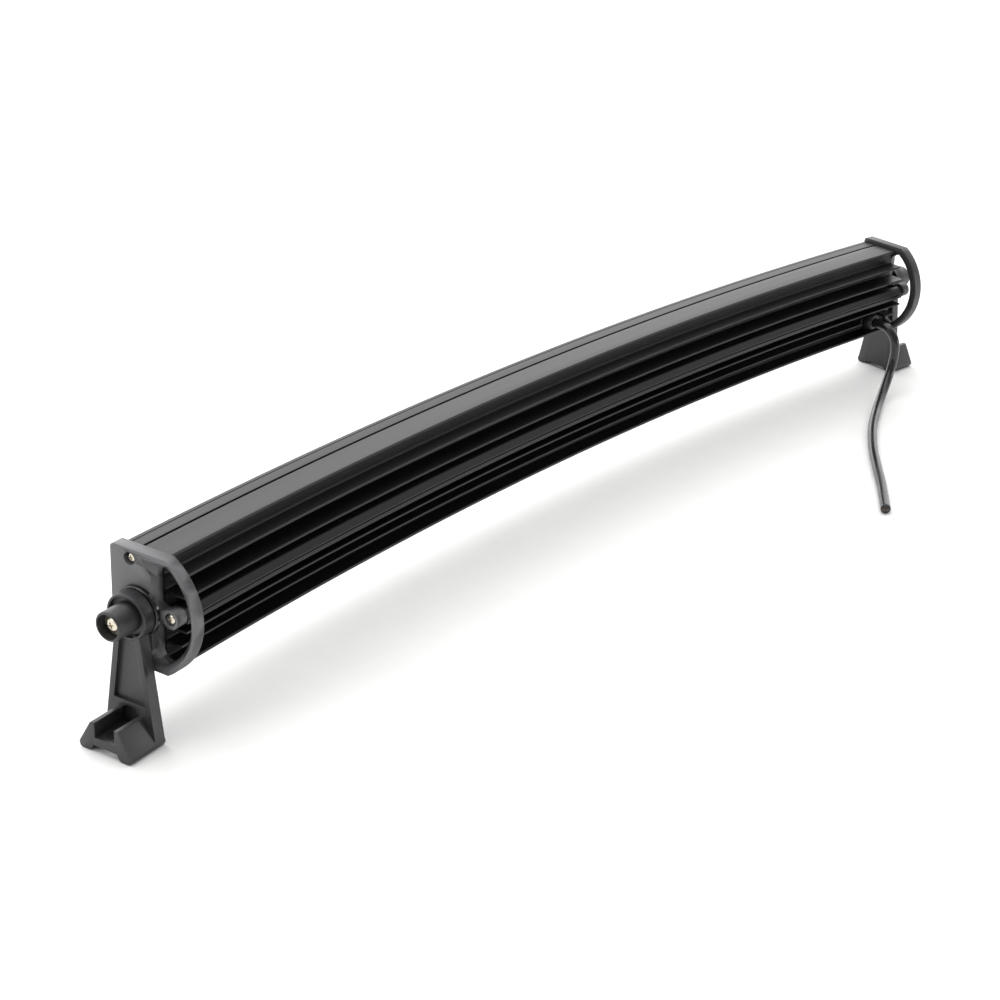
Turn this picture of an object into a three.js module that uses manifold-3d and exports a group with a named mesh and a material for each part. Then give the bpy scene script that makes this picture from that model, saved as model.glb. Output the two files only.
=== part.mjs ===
// Curved double-row LED light bar for a truck or trailer, on two swivel brackets.
// Millimetres, +Z up. +X is the right-hand end seen from the lit side, and the lamp shines towards -Y.
// The origin lies on the ground under the middle of the lamp and its brackets.

import * as THREE from 'three';
import { mergeVertices } from 'three/addons/utils/BufferGeometryUtils.js';
import Module from 'manifold-3d';

const wasm = await Module();
wasm.setup();

// ---------- driving dimensions ----------

const bendRadius = 3720;          // of the front face, seen from above
const halfAngle = THREE.MathUtils.degToRad(7);
const halfLength = bendRadius * halfAngle;
const bendSteps = 14;
const pivotHeight = 88;           // pivot bolts above the ground
const gap = 0.3;                  // clearance between touching pieces

const housing = {
  halfHeight: 36.7,
  innerHalfHeight: 33.2,
  wallFront: 28,                  // depth of the cavity behind the front face
  wallBack: 32,
  topPlateBack: 35.2,             // rear edge of the top plate
  bottomPlateBack: 44.5,          // the bottom plate runs further back
  finThickness: 1.7,
  endSetback: 1.6,                // leaves room for the cap's gasket
};
const fins = [{ at: 11.9, reach: 49 }, { at: 23.1, reach: 44.5 }];
const rearPort = {
  u: 44,
  bore: 2.3,
  outer: 4.4,
  web: 1.3,
  reach: 49.8,
  lipTop: -0.4,
  slotTop: -1.4,
  slotBottom: -2.2,
  lipBottom: -5.4,
};
const platePort = { u: 13.3, v: 33, bore: 2.2, outer: 4, slot: 0.65 };
const lineGroove = { u: 3.7, half: 0.5, depth: 0.5 };
const lensSlot = { front: 1.5, back: 6.2, lip: 32.4, top: 35 };
const lens = { front: 2.9, back: 5.9, halfHeight: 34.6 };
const seal = { front: 1.8, back: 2.6, inner: 32.7, outer: 34.7 };

const led = { pitch: 30, columnsPerBoard: 10, boards: 3, row: 14.6, chip: 3.4, front: 24.6 };
const board = { front: 26.1, back: 27.7, halfHeight: 30 };
const reflector = { front: 7, back: 25.5, halfHeight: 28.6, cupFront: 13.2, cupBack: 4.6, sides: 8 };

const cap = {
  thickness: 8.8,
  lip: -1.8,                      // how far its edge stands in front of the lens side
  halfHeight: 40,
  backRadius: 47.1,
  backCentre: 16.66,
  frontCorner: 3,
  windowLevel: 4.4,               // the dish round the window slopes down to here
  boss: 6.5,
};
const capScrews = [
  { name: 'upper', u: platePort.u, v: platePort.v, sink: 4.2, sinkRadius: 4.3 },
  { name: 'lower', u: platePort.u, v: -platePort.v, sink: 4.2, sinkRadius: 4.3 },
  { name: 'rear', u: rearPort.u, v: 0, sink: 3.4, sinkRadius: 4.2 },
];
const capScrew = { head: 3.5, headHeight: 2.3, shank: 1.85, tail: -12, hole: 2.2 };

const pivot = { u: 20.4, bolt: 3, bore: 3.4, threadEnd: 2.2, head: 4.9, headTop: 34.6, headHeight: 2.4 };
const spacer = { radius: 16.9, start: 9.1, end: 12.3 };
const washer = { radius: 7, start: 31.1, end: 31.9 };
const bracket = {
  start: 12.7,
  face: 21.7,
  head: 15.5,
  rim: 13.7,
  hub: 10,
  hubEnd: 37.5,
  sinkRadius: 8.3,
  sinkFloor: 30.8,
  legTop: 9.9,
  legTopDrop: 11,
  flange: 4.4,
  webDepth: 3.5,
  webBottomDrop: 60,
};
const foot = {
  end: 44.5,
  halfWidth: 21,
  ridge: 21,
  ridgeOuter: 10.8,
  pocket: 8,
  pocketFloor: 10.5,
  archCentre: 17,
  lugInner: 9.6,
  archway: 4.6,
  slotRadius: 4.3,
  slotStart: 27,
  slotEnd: 37,
};

const gland = { s: -420, v: -24.2, thread: 5.7, hole: 6.1, bore: 4.6, flange: 8.8, nut: 8.2, lockNut: 8 };
const glandDepths = { inner: 22.8, lockFront: 24.2, lockBack: 27.7, flange: 32.3, body: 36.5, nut: 36.8, end: 46 };
const cable = { diameter: 8.5, sides: 10, steps: 46 };

// The free cable from the gland's mouth back, down to the ground and along it to its bare end.
const cableRoute = [
  [-413.9, 23.7, 63.8], [-413.4, 27.6, 63.8], [-413.0, 31.6, 63.6], [-412.4, 37.3, 62.6], [-411.9, 42.5, 59.6],
  [-411.7, 46.6, 54.8], [-411.6, 48.8, 48.7], [-411.5, 49.4, 41.6], [-410.4, 49.6, 34.0], [-407.4, 50.0, 26.5],
  [-401.3, 51.3, 19.0], [-391.6, 54.0, 12.2], [-378.0, 58.6, 7.3], [-362.0, 64.8, 4.9], [-344.0, 72.8, 4.5],
  [-322.0, 83.5, 4.5], [-298.0, 96.9, 4.5], [-272.0, 113.2, 4.5], [-243.0, 133.6, 4.5], [-212.0, 156.0, 4.5],
  [-190.0, 170.8, 4.5], [-172.0, 183.0, 4.5],
];

// Distance from the middle of the front face back to the origin: half the depth of the whole lamp.
const capReach = cap.backCentre + cap.backRadius;
const overallDepth = bendRadius - (bendRadius - capReach) * Math.cos(halfAngle) + cap.thickness * Math.sin(halfAngle);
const frontToOrigin = overallDepth / 2;

// ---------- materials ----------

function finish(color, roughness, metalness) {
  return new THREE.MeshStandardMaterial({ color, roughness, metalness });
}

const materials = {
  anodised: finish(0x1b1a1c, 0.42, 0.6),
  castBlack: finish(0x343436, 0.55, 0.35),
  clearLens: finish(0xe8eef0, 0.08, 0),
  rubber: finish(0x141414, 0.8, 0),
  boardWhite: finish(0xe9eae4, 0.5, 0),
  reflectorBright: finish(0xc9ccd0, 0.15, 1),
  glossBlack: finish(0x0c0c0d, 0.25, 0),
  steel: finish(0xc8c2b4, 0.25, 1),
  nylon: finish(0x161617, 0.5, 0),
  jacket: finish(0x1d1d1f, 0.35, 0),
};

// ---------- general helpers ----------

const degrees = THREE.MathUtils.radToDeg;

function vec(u, v) {
  return new THREE.Vector2(u, v);
}

function arc(cu, cv, radius, from, to, steps) {
  return Array.from({ length: steps + 1 }, (_, i) => {
    const angle = THREE.MathUtils.degToRad(from + ((to - from) * i) / steps);
    return vec(cu + radius * Math.cos(angle), cv + radius * Math.sin(angle));
  });
}

function positionsOnly(geometry) {
  const bare = geometry.clone();
  bare.deleteAttribute('normal');
  bare.deleteAttribute('uv');
  return mergeVertices(bare, 1e-4);
}

function signedVolume(geometry) {
  const [a, b, c] = [new THREE.Vector3(), new THREE.Vector3(), new THREE.Vector3()];
  const { position } = geometry.attributes;
  let volume = 0;
  for (let i = 0; i < geometry.index.count; i += 3) {
    a.fromBufferAttribute(position, geometry.index.getX(i));
    b.fromBufferAttribute(position, geometry.index.getX(i + 1));
    c.fromBufferAttribute(position, geometry.index.getX(i + 2));
    volume += a.dot(b.cross(c)) / 6;
  }
  return volume;
}

// Merges the corners and turns the faces outwards.
function closed(geometry) {
  const shell = positionsOnly(geometry);
  if (signedVolume(shell) < 0) {
    shell.setIndex([...shell.index.array].reverse());
  }
  return shell;
}

function toSolid(geometry) {
  const shell = closed(geometry);
  const vertProperties = new Float32Array(shell.attributes.position.array);
  const triVerts = new Uint32Array(shell.index.array);
  return new wasm.Manifold(new wasm.Mesh({ numProp: 3, vertProperties, triVerts }));
}

function toGeometry(solid) {
  const mesh = solid.getMesh();
  const geometry = new THREE.BufferGeometry();
  geometry.setAttribute('position', new THREE.BufferAttribute(mesh.vertProperties, 3));
  geometry.setIndex(new THREE.BufferAttribute(mesh.triVerts, 1));
  return geometry;
}

function join(first, ...others) {
  return toGeometry(others.reduce((solid, other) => solid.add(toSolid(other)), toSolid(first)));
}

function cut(body, ...tools) {
  return toGeometry(tools.reduce((solid, tool) => solid.subtract(toSolid(tool)), toSolid(body)));
}

// ---------- shapes of the curved bar: u runs back from the front face, v up, s along the arc ----------

function barPoint(s, u, v) {
  const angle = s / bendRadius;
  const radius = bendRadius - u;
  return new THREE.Vector3(radius * Math.sin(angle), bendRadius - radius * Math.cos(angle), v);
}

// A section drawn in u and v, run along the arc from s0 to s1.
function bent(section, s0, s1, steps = bendSteps) {
  const shape = new THREE.Shape(section);
  const geometry = new THREE.ExtrudeGeometry(shape, { depth: s1 - s0, steps, bevelEnabled: false });
  const { position } = geometry.attributes;
  for (let i = 0; i < position.count; i += 1) {
    const point = barPoint(s0 + position.getZ(i), position.getX(i), position.getY(i));
    position.setXYZ(i, point.x, point.y, point.z);
  }
  return closed(geometry);
}

function box(u0, u1, v0, v1) {
  return [vec(u0, v0), vec(u1, v0), vec(u1, v1), vec(u0, v1)];
}

// A turned piece whose axis runs back through the bar at (s, v); its profile is [radius, u] pairs.
function turnedBack(profile, s, v, sides) {
  const geometry = new THREE.LatheGeometry(profile.map(([r, u]) => vec(r, u)), sides);
  geometry.rotateY(Math.PI / sides);
  geometry.rotateZ(s / bendRadius);
  const mouth = barPoint(s, 0, v);
  geometry.translate(mouth.x, mouth.y, mouth.z);
  return closed(geometry);
}

// Profile of a plain cylinder between two depths.
function plug(radius, u0, u1) {
  return [[0, u0], [radius, u0], [radius, u1], [0, u1]];
}

// ---------- shapes of the ends: local X runs outwards from the housing's end, Y back, Z up ----------

const endAxes = new THREE.Matrix4().makeBasis(
  new THREE.Vector3(0, 1, 0),
  new THREE.Vector3(0, 0, 1),
  new THREE.Vector3(1, 0, 0),
);

function slab(section, w0, w1, holes = []) {
  const shape = new THREE.Shape(section);
  shape.holes = holes.map((hole) => new THREE.Path(hole));
  const geometry = new THREE.ExtrudeGeometry(shape, { depth: w1 - w0, steps: 1, bevelEnabled: false });
  geometry.translate(0, 0, w0);
  geometry.applyMatrix4(endAxes);
  return closed(geometry);
}

// A slab whose outline changes from one set of corners to another of the same count.
function taper(inner, outer, w0, w1) {
  const geometry = slab(inner, w0, w1);
  const { position } = geometry.attributes;
  for (let i = 0; i < position.count; i += 1) {
    if (position.getX(i) > (w0 + w1) / 2) {
      const corner = inner.findIndex(
        (point) => Math.hypot(point.x - position.getY(i), point.y - position.getZ(i)) < 0.001,
      );
      position.setXYZ(i, w1, outer[corner].x, outer[corner].y);
    }
  }
  return geometry;
}

// A turned piece along local X through (u, v); its profile is [radius, w] pairs.
function turned(profile, u, v, sides) {
  const geometry = new THREE.LatheGeometry(profile.map(([r, w]) => vec(r, w)), sides);
  geometry.rotateY(Math.PI / sides);
  geometry.rotateZ(-Math.PI / 2);
  geometry.translate(0, u, v);
  return closed(geometry);
}

function rod(radius, w0, w1, u, v, sides) {
  return turned(plug(radius, w0, w1), u, v, sides);
}

// ---------- housing ----------

// The middle rib of the rear: a screw port whose slot opens backwards, low, above a broad lower lip.
function rearRib() {
  const { u, bore, outer, reach, lipTop, slotTop, slotBottom, lipBottom, web } = rearPort;
  const slotTopAngle = degrees(Math.asin(slotTop / bore));
  const slotBottomAngle = degrees(Math.asin(slotBottom / bore));
  const webAngle = degrees(Math.asin(web / outer));
  return [
    vec(housing.wallBack, -web),
    ...arc(u, 0, outer, 180 + webAngle, 265, 3),
    vec(u + 2.4, lipBottom),
    vec(reach, lipBottom),
    vec(reach, slotBottom),
    ...arc(u, 0, bore, slotBottomAngle, slotTopAngle - 360, 9),
    vec(reach, slotTop),
    vec(reach, lipTop),
    ...arc(u, 0, outer, 45, 180 - webAngle, 4),
    vec(housing.wallBack, web),
  ];
}

// Half of the extruded section, from above the middle rib round to the cavity, drawn the right way up.
function housingHalf(plateBack) {
  const top = housing.halfHeight;
  const half = housing.finThickness / 2;
  const points = [];
  for (const fin of fins) {
    points.push(
      vec(housing.wallBack, fin.at - half - 0.5),
      vec(fin.reach - 0.5, fin.at - half),
      vec(fin.reach, fin.at),
      vec(fin.reach - 0.5, fin.at + half),
      vec(housing.wallBack, fin.at + half + 0.5),
    );
  }
  const slotAngle = degrees(Math.acos(platePort.slot / platePort.bore));
  points.push(
    vec(housing.wallBack, top - 2.6),
    vec(plateBack, top - 2.2),
    vec(plateBack, top - 0.6),
    vec(plateBack - 0.6, top),
    vec(platePort.u + platePort.slot, top),
    ...arc(platePort.u, platePort.v, platePort.bore, slotAngle, -180 - slotAngle, 8),
    vec(platePort.u - platePort.slot, top),
    vec(lineGroove.u + lineGroove.half, top),
    vec(lineGroove.u, top - lineGroove.depth),
    vec(lineGroove.u - lineGroove.half, top),
    vec(0.6, top),
    vec(0, top - 0.6),
    vec(0, lensSlot.lip),
    vec(lensSlot.front, lensSlot.lip),
    vec(lensSlot.front, lensSlot.top),
    vec(lensSlot.back, lensSlot.top),
    vec(lensSlot.back, lensSlot.lip),
    vec(lensSlot.back + 1.2, lensSlot.lip),
    vec(lensSlot.back + 1.2, housing.innerHalfHeight),
    ...arc(platePort.u, platePort.v, platePort.outer, 177, 363, 6),
    vec(housing.wallFront, housing.innerHalfHeight),
  );
  return points;
}

function makeHousing() {
  const upper = housingHalf(housing.topPlateBack);
  const lower = housingHalf(housing.bottomPlateBack).reverse().map((point) => vec(point.x, -point.y));
  const end = halfLength - housing.endSetback;
  const extrusion = bent([...rearRib(), ...upper, ...lower], -end, end);
  const finNotch = bent(box(housing.wallBack + 0.05, 60, -33.9, -13.8), gland.s - 19, gland.s + 19, 2);
  const cableHole = turnedBack(plug(gland.hole, 20, housing.wallBack + 1), gland.s, gland.v, 20);
  return cut(extrusion, finNotch, cableHole);
}

// ---------- lens, seals and light engine ----------

function makeLens() {
  const end = halfLength - housing.endSetback;
  return bent(box(lens.front, lens.back, -lens.halfHeight, lens.halfHeight), -end, end);
}

function makeSeal(side) {
  const end = halfLength - housing.endSetback;
  const [low, high] = side > 0 ? [seal.inner, seal.outer] : [-seal.outer, -seal.inner];
  return bent(box(seal.front, seal.back, low, high), -end, end);
}

const boardLength = led.pitch * led.columnsPerBoard;

// The LEDs of one board, as [s, v] pairs.
function ledPlaces(index) {
  const start = (index - led.boards / 2) * boardLength;
  const columns = Array.from({ length: led.columnsPerBoard }, (_, k) => start + (k + 0.5) * led.pitch);
  return columns.flatMap((s) => [[s, led.row], [s, -led.row]]);
}

function makeBoard(index) {
  const start = (index - led.boards / 2) * boardLength + gap;
  const end = start + boardLength - 2 * gap;
  const plate = bent(box(board.front, board.back, -board.halfHeight, board.halfHeight), start, end, 5);
  const chips = ledPlaces(index).map(([s, v]) => {
    const half = led.chip / 2;
    return bent(box(led.front, board.front + 0.2, v - half, v + half), s - half, s + half, 1);
  });
  const populated = join(plate, ...chips);
  if (index > 0) {
    return populated;
  }
  return cut(populated, turnedBack(plug(gland.lockNut + 1, 22, 30), gland.s, gland.v, 16));
}

function makeReflector(index) {
  const start = (index - led.boards / 2) * boardLength + gap;
  const end = start + boardLength - 2 * gap;
  const { front, back, halfHeight } = reflector;
  const block = bent(box(front, back, -halfHeight, halfHeight), start, end, 5);
  const slope = (reflector.cupFront - reflector.cupBack) / (back - front);
  const cupProfile = [
    [0, front - 1],
    [reflector.cupFront + slope, front - 1],
    [reflector.cupBack - slope, back + 1],
    [0, back + 1],
  ];
  const cups = ledPlaces(index).map(([s, v]) => turnedBack(cupProfile, s, v, reflector.sides));
  if (index === 0) {
    cups.push(turnedBack(plug(gland.lockNut + 1, glandDepths.inner - 4, back + 1), gland.s, gland.v, 16));
  }
  return cut(block, ...cups);
}

// ---------- cable entry ----------

function makeGlandBody() {
  const { inner, flange, body } = glandDepths;
  const profile = [
    [gland.bore, inner],
    [gland.thread, inner],
    [gland.thread, flange],
    [gland.flange, flange],
    [gland.flange, body],
    [gland.bore, body],
    [gland.bore, inner],
  ];
  return turnedBack(profile, gland.s, gland.v, 18);
}

function makeGlandLockNut() {
  const { lockFront, lockBack } = glandDepths;
  const inside = gland.thread + gap;
  const profile = [
    [inside, lockFront],
    [gland.lockNut, lockFront],
    [gland.lockNut, lockBack],
    [inside, lockBack],
    [inside, lockFront],
  ];
  return turnedBack(profile, gland.s, gland.v, 18);
}

function makeGlandNut() {
  const { nut, end } = glandDepths;
  const profile = [
    [gland.bore, nut],
    [gland.nut, nut],
    [gland.nut, end - 4.5],
    [gland.nut - 0.9, end - 1.6],
    [gland.nut - 2.4, end],
    [gland.bore, end],
    [gland.bore, nut],
  ];
  return turnedBack(profile, gland.s, gland.v, 18);
}

function makeLeadTail() {
  return turnedBack(plug(cable.diameter / 2, glandDepths.inner - 3, glandDepths.end), gland.s, gland.v, 12);
}

function makeCable() {
  const path = new THREE.CatmullRomCurve3(cableRoute.map((point) => new THREE.Vector3(...point)));
  const section = new THREE.Shape(arc(0, 0, cable.diameter / 2, 0, 360, cable.sides).slice(1));
  return closed(new THREE.ExtrudeGeometry(section, { steps: cable.steps, extrudePath: path }));
}

// ---------- end caps ----------

// An arc about the centre of the cap's rounded back.
function backRound(radius, fromDegrees, toDegrees, steps) {
  return arc(cap.backCentre, 0, radius, fromDegrees, toDegrees, steps);
}

function capOutline() {
  const cornerAt = cap.halfHeight - cap.frontCorner;
  const turn = degrees(Math.asin(cap.halfHeight / cap.backRadius));
  const corner = cap.lip + cap.frontCorner;
  return [
    ...backRound(cap.backRadius, -turn, turn, 22),
    ...arc(corner, cornerAt, cap.frontCorner, 90, 180, 4),
    ...arc(corner, -cornerAt, cap.frontCorner, 180, 270, 4),
  ];
}

// The window at the back of the cap, and the wider outline its sloped dish has at the face.
function windowOutlines() {
  const window = [
    vec(31.5, -24),
    vec(31.9, -28),
    vec(33.6, -31.2),
    ...backRound(40.9, -56, 56, 14),
    vec(33.6, 31.2),
    vec(31.9, 28),
    vec(31.5, 24),
  ];
  const dish = [
    vec(29.5, -25.6),
    vec(25.6, -31.2),
    vec(21.4, -36.9),
    ...backRound(45, -55, 55, 14),
    vec(21.4, 36.9),
    vec(25.6, 31.2),
    vec(29.5, 25.6),
  ];
  return { window, dish };
}

// The rear screw's boss and the neck that carries it from the plate.
function bossOutline() {
  const { u } = rearPort;
  return [
    vec(28, -9.5),
    vec(32.4, -6.2),
    vec(35.8, -4.1),
    ...arc(u, 0, cap.boss, -146, 146, 14),
    vec(35.8, 4.1),
    vec(32.4, 6.2),
    vec(28, 9.5),
  ];
}

function makeCap() {
  const { window, dish } = windowOutlines();
  const { thickness, windowLevel } = cap;
  const plate = slab(capOutline(), 0, thickness);
  const opening = join(slab(window, -1, windowLevel + 0.1), taper(window, dish, windowLevel, thickness + 0.4));
  const kept = cut(opening, slab(bossOutline(), -2, thickness - gap));
  const holes = capScrews.flatMap(({ u, v, sink, sinkRadius }) => [
    rod(capScrew.hole, -1, thickness + 1, u, v, 12),
    rod(sinkRadius, thickness - sink, thickness + 1, u, v, 20),
  ]);
  const pivotHole = rod(pivot.bolt + gap, 1.4, thickness + 1, pivot.u, 0, 16);
  return cut(plate, kept, ...holes, pivotHole);
}

function makeCapGasket() {
  const outer = box(0.3, 31.4, -36.4, 36.4);
  const inner = [...box(7.8, 27.6, -28.4, 28.4)].reverse();
  const sheet = slab(outer, -housing.endSetback + gap, -gap, [inner]);
  const screwHoles = [platePort.v, -platePort.v].map((v) => rod(capScrew.hole, -3, 1, platePort.u, v, 12));
  return cut(sheet, ...screwHoles);
}

function makeCapScrew({ u, v, sink }) {
  const seat = cap.thickness - sink + gap;
  const { head, headHeight, shank, tail } = capScrew;
  const profile = [
    [0, tail],
    [shank, tail],
    [shank, seat],
    [head, seat],
    [head, seat + headHeight * 0.5],
    [head * 0.72, seat + headHeight],
    [0, seat + headHeight],
  ];
  return turned(profile, u, v, 14);
}

// ---------- pivots ----------

function makeSpacer() {
  const { radius, start, end } = spacer;
  const profile = [
    [pivot.bore, start],
    [radius, start],
    [radius, end - 0.8],
    [radius - 0.8, end],
    [pivot.bore, end],
    [pivot.bore, start],
  ];
  return turned(profile, pivot.u, 0, 36);
}

function makePivotBolt() {
  const { bolt, threadEnd, head, headTop, headHeight } = pivot;
  const seat = headTop - headHeight;
  const profile = [
    [0, threadEnd],
    [bolt, threadEnd],
    [bolt, seat],
    [head, seat],
    [head, headTop - 0.9],
    [head - 1, headTop],
    [0, headTop],
  ];
  const socket = rod(1.9, headTop - 1.6, headTop + 1, pivot.u, 0, 6);
  return cut(turned(profile, pivot.u, 0, 18), socket);
}

function makePivotWasher() {
  const { radius, start, end } = washer;
  const profile = [[pivot.bore, start], [radius, start], [radius, end], [pivot.bore, end], [pivot.bore, start]];
  return turned(profile, pivot.u, 0, 20);
}

// ---------- mounting brackets, drawn with u measured from the pivot ----------

function aboutPivot(points) {
  return points.map((point) => vec(point.x + pivot.u, point.y));
}

function legHalfWidth(drop) {
  const fall = (drop - bracket.legTopDrop) / (pivotHeight - bracket.legTopDrop);
  return bracket.legTop + fall * (foot.halfWidth - bracket.legTop);
}

// A four-sided stretch of the leg between two heights below the pivot, set in from its sides.
function legPanel(topDrop, bottomDrop, inset) {
  const top = legHalfWidth(topDrop) - inset;
  const bottom = legHalfWidth(bottomDrop) - inset;
  return aboutPivot([vec(-bottom, -bottomDrop), vec(bottom, -bottomDrop), vec(top, -topDrop), vec(-top, -topDrop)]);
}

// The foot seen from its outer end: two lugs on the ground and a saddle with a pocket between its ridges.
function footOutline() {
  const { halfWidth, ridge, ridgeOuter, lugInner, archway } = foot;
  const rightHalf = [
    vec(lugInner, archway),
    vec(lugInner + 1.5, 1.2),
    vec(lugInner + 3.6, 0),
    vec(halfWidth - 2.6, 0),
    vec(halfWidth - 0.8, 0.8),
    vec(halfWidth, 3),
    vec(halfWidth - 0.4, 4.6),
    vec(ridgeOuter + 0.8, ridge - 0.5),
    vec(ridgeOuter, ridge),
  ];
  const leftHalf = [...rightHalf].reverse().map((point) => vec(-point.x, point.y));
  return aboutPivot([...rightHalf, ...leftHalf].map((point) => vec(point.x, point.y - pivotHeight)));
}

function makeBracket() {
  const ground = -pivotHeight;
  const { start, face, head, rim, hub, hubEnd, webDepth, flange } = bracket;
  const headAndHub = turned(
    [
      [0, start],
      [head, start],
      [head, face - 0.7],
      [head - 0.7, face],
      [rim, face],
      [rim, face - webDepth],
      [hub, face - webDepth],
      [hub, hubEnd - 0.7],
      [hub - 0.7, hubEnd],
      [0, hubEnd],
    ],
    pivot.u,
    0,
    32,
  );
  const legFace = face - 0.4;
  const web = slab(legPanel(bracket.legTopDrop - 2, bracket.webBottomDrop, flange), face - webDepth, face + 1);
  const leg = cut(slab(legPanel(bracket.legTopDrop, pivotHeight - 3, 0), start, legFace), web);
  const saddle = slab(footOutline(), start, foot.end);
  const { pocket, pocketFloor, archCentre } = foot;
  const arch = [
    vec(pivot.u - pocket, ground + pocketFloor),
    vec(pivot.u + pocket, ground + pocketFloor),
    ...arc(pivot.u, ground + archCentre, pocket, 0, 180, 12),
  ];
  const openPocket = box(pivot.u - pocket, pivot.u + pocket, ground + pocketFloor, ground + archCentre + 20);
  return cut(
    join(headAndHub, leg, saddle),
    slab(openPocket, legFace, foot.end + 1),
    slab(arch, start + 4, legFace + 1),
    rod(pivot.bore, start - 1, hubEnd + 1, pivot.u, 0, 16),
    rod(bracket.sinkRadius, bracket.sinkFloor, hubEnd + 1, pivot.u, 0, 28),
    boltSlot(ground),
  );
}

// The upright slot for the mounting bolt, through the floor of the foot's pocket.
function boltSlot(ground) {
  const { slotRadius, slotStart, slotEnd, pocketFloor } = foot;
  const section = [
    ...arc(slotEnd, 0, slotRadius, -90, 90, 8),
    ...arc(slotStart, 0, slotRadius, 90, 270, 8),
  ];
  const geometry = new THREE.ExtrudeGeometry(new THREE.Shape(section), { depth: pocketFloor + 2, bevelEnabled: false });
  geometry.translate(0, pivot.u, ground - 1);
  return closed(geometry);
}

// ---------- assembly ----------

function addPiece(parent, name, geometry, material) {
  const mesh = new THREE.Mesh(geometry, material);
  mesh.name = name;
  parent.add(mesh);
}

const lamp = new THREE.Group();
lamp.position.set(0, -frontToOrigin, pivotHeight);

addPiece(lamp, 'housing', makeHousing(), materials.anodised);
addPiece(lamp, 'lens', makeLens(), materials.clearLens);
addPiece(lamp, 'lens_seal_upper', makeSeal(1), materials.rubber);
addPiece(lamp, 'lens_seal_lower', makeSeal(-1), materials.rubber);
for (let i = 0; i < led.boards; i += 1) {
  addPiece(lamp, `led_board_${i + 1}`, makeBoard(i), materials.boardWhite);
  addPiece(lamp, `reflector_strip_${i + 1}`, makeReflector(i), materials.reflectorBright);
}
addPiece(lamp, 'gland_body', makeGlandBody(), materials.nylon);
addPiece(lamp, 'gland_locknut', makeGlandLockNut(), materials.nylon);
addPiece(lamp, 'gland_nut', makeGlandNut(), materials.nylon);
addPiece(lamp, 'lead_tail', makeLeadTail(), materials.jacket);

// The left end is the mirror image of the right one.
for (const [side, mirror] of [['right', 1], ['left', -1]]) {
  const mirrored = new THREE.Group();
  mirrored.scale.x = mirror;
  const end = new THREE.Group();
  end.position.copy(barPoint(halfLength, 0, 0));
  end.rotation.z = halfAngle;
  mirrored.add(end);
  lamp.add(mirrored);
  addPiece(end, `cap_${side}`, makeCap(), materials.castBlack);
  addPiece(end, `cap_gasket_${side}`, makeCapGasket(), materials.rubber);
  for (const screw of capScrews) {
    addPiece(end, `cap_screw_${screw.name}_${side}`, makeCapScrew(screw), materials.steel);
  }
  addPiece(end, `pivot_spacer_${side}`, makeSpacer(), materials.glossBlack);
  addPiece(end, `pivot_washer_${side}`, makePivotWasher(), materials.steel);
  addPiece(end, `pivot_bolt_${side}`, makePivotBolt(), materials.steel);
  addPiece(end, `bracket_${side}`, makeBracket(), materials.castBlack);
}

const lightBar = new THREE.Group();
lightBar.add(lamp);
addPiece(lightBar, 'cable', makeCable(), materials.jacket);

export default lightBar;
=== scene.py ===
# Curved LED light bar for a truck: finned black housing, cast end caps, two swivel brackets, supply lead.
import math

import bmesh
import bpy
from mathutils import Matrix, Vector


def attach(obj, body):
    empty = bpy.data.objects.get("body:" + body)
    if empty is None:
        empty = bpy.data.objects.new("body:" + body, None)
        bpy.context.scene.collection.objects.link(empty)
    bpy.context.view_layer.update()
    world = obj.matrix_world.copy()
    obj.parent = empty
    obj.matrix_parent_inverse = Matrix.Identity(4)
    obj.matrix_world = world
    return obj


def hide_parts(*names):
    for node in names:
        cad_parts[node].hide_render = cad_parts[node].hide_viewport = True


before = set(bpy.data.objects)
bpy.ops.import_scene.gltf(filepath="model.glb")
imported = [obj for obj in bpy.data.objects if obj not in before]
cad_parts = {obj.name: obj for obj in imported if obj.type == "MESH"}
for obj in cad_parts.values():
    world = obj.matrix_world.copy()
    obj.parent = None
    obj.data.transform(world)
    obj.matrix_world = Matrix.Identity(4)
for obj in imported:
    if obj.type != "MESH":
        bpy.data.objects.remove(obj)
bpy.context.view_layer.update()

scene = bpy.context.scene
mm = 0.001    # sizes are in millimetres unless a note says otherwise


def linearColour(hexText):
    parts = [int(hexText[i:i + 2], 16) / 255 for i in (0, 2, 4)]
    return tuple(c / 12.92 if c <= 0.04045 else ((c + 0.055) / 1.055) ** 2.4 for c in parts) + (1.0,)


# one node, with its settings, the values of its inputs and the links into them
def addNode(tree, kind, values=None, links=None, **settings):
    node = tree.nodes.new(kind)
    for name, value in settings.items():
        setattr(node, name, value)
    for key, value in (values or {}).items():
        node.inputs[key].default_value = value
    for key, socket in (links or {}).items():
        tree.links.new(socket, node.inputs[key])
    return node


print("camera, floor and light")

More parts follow.
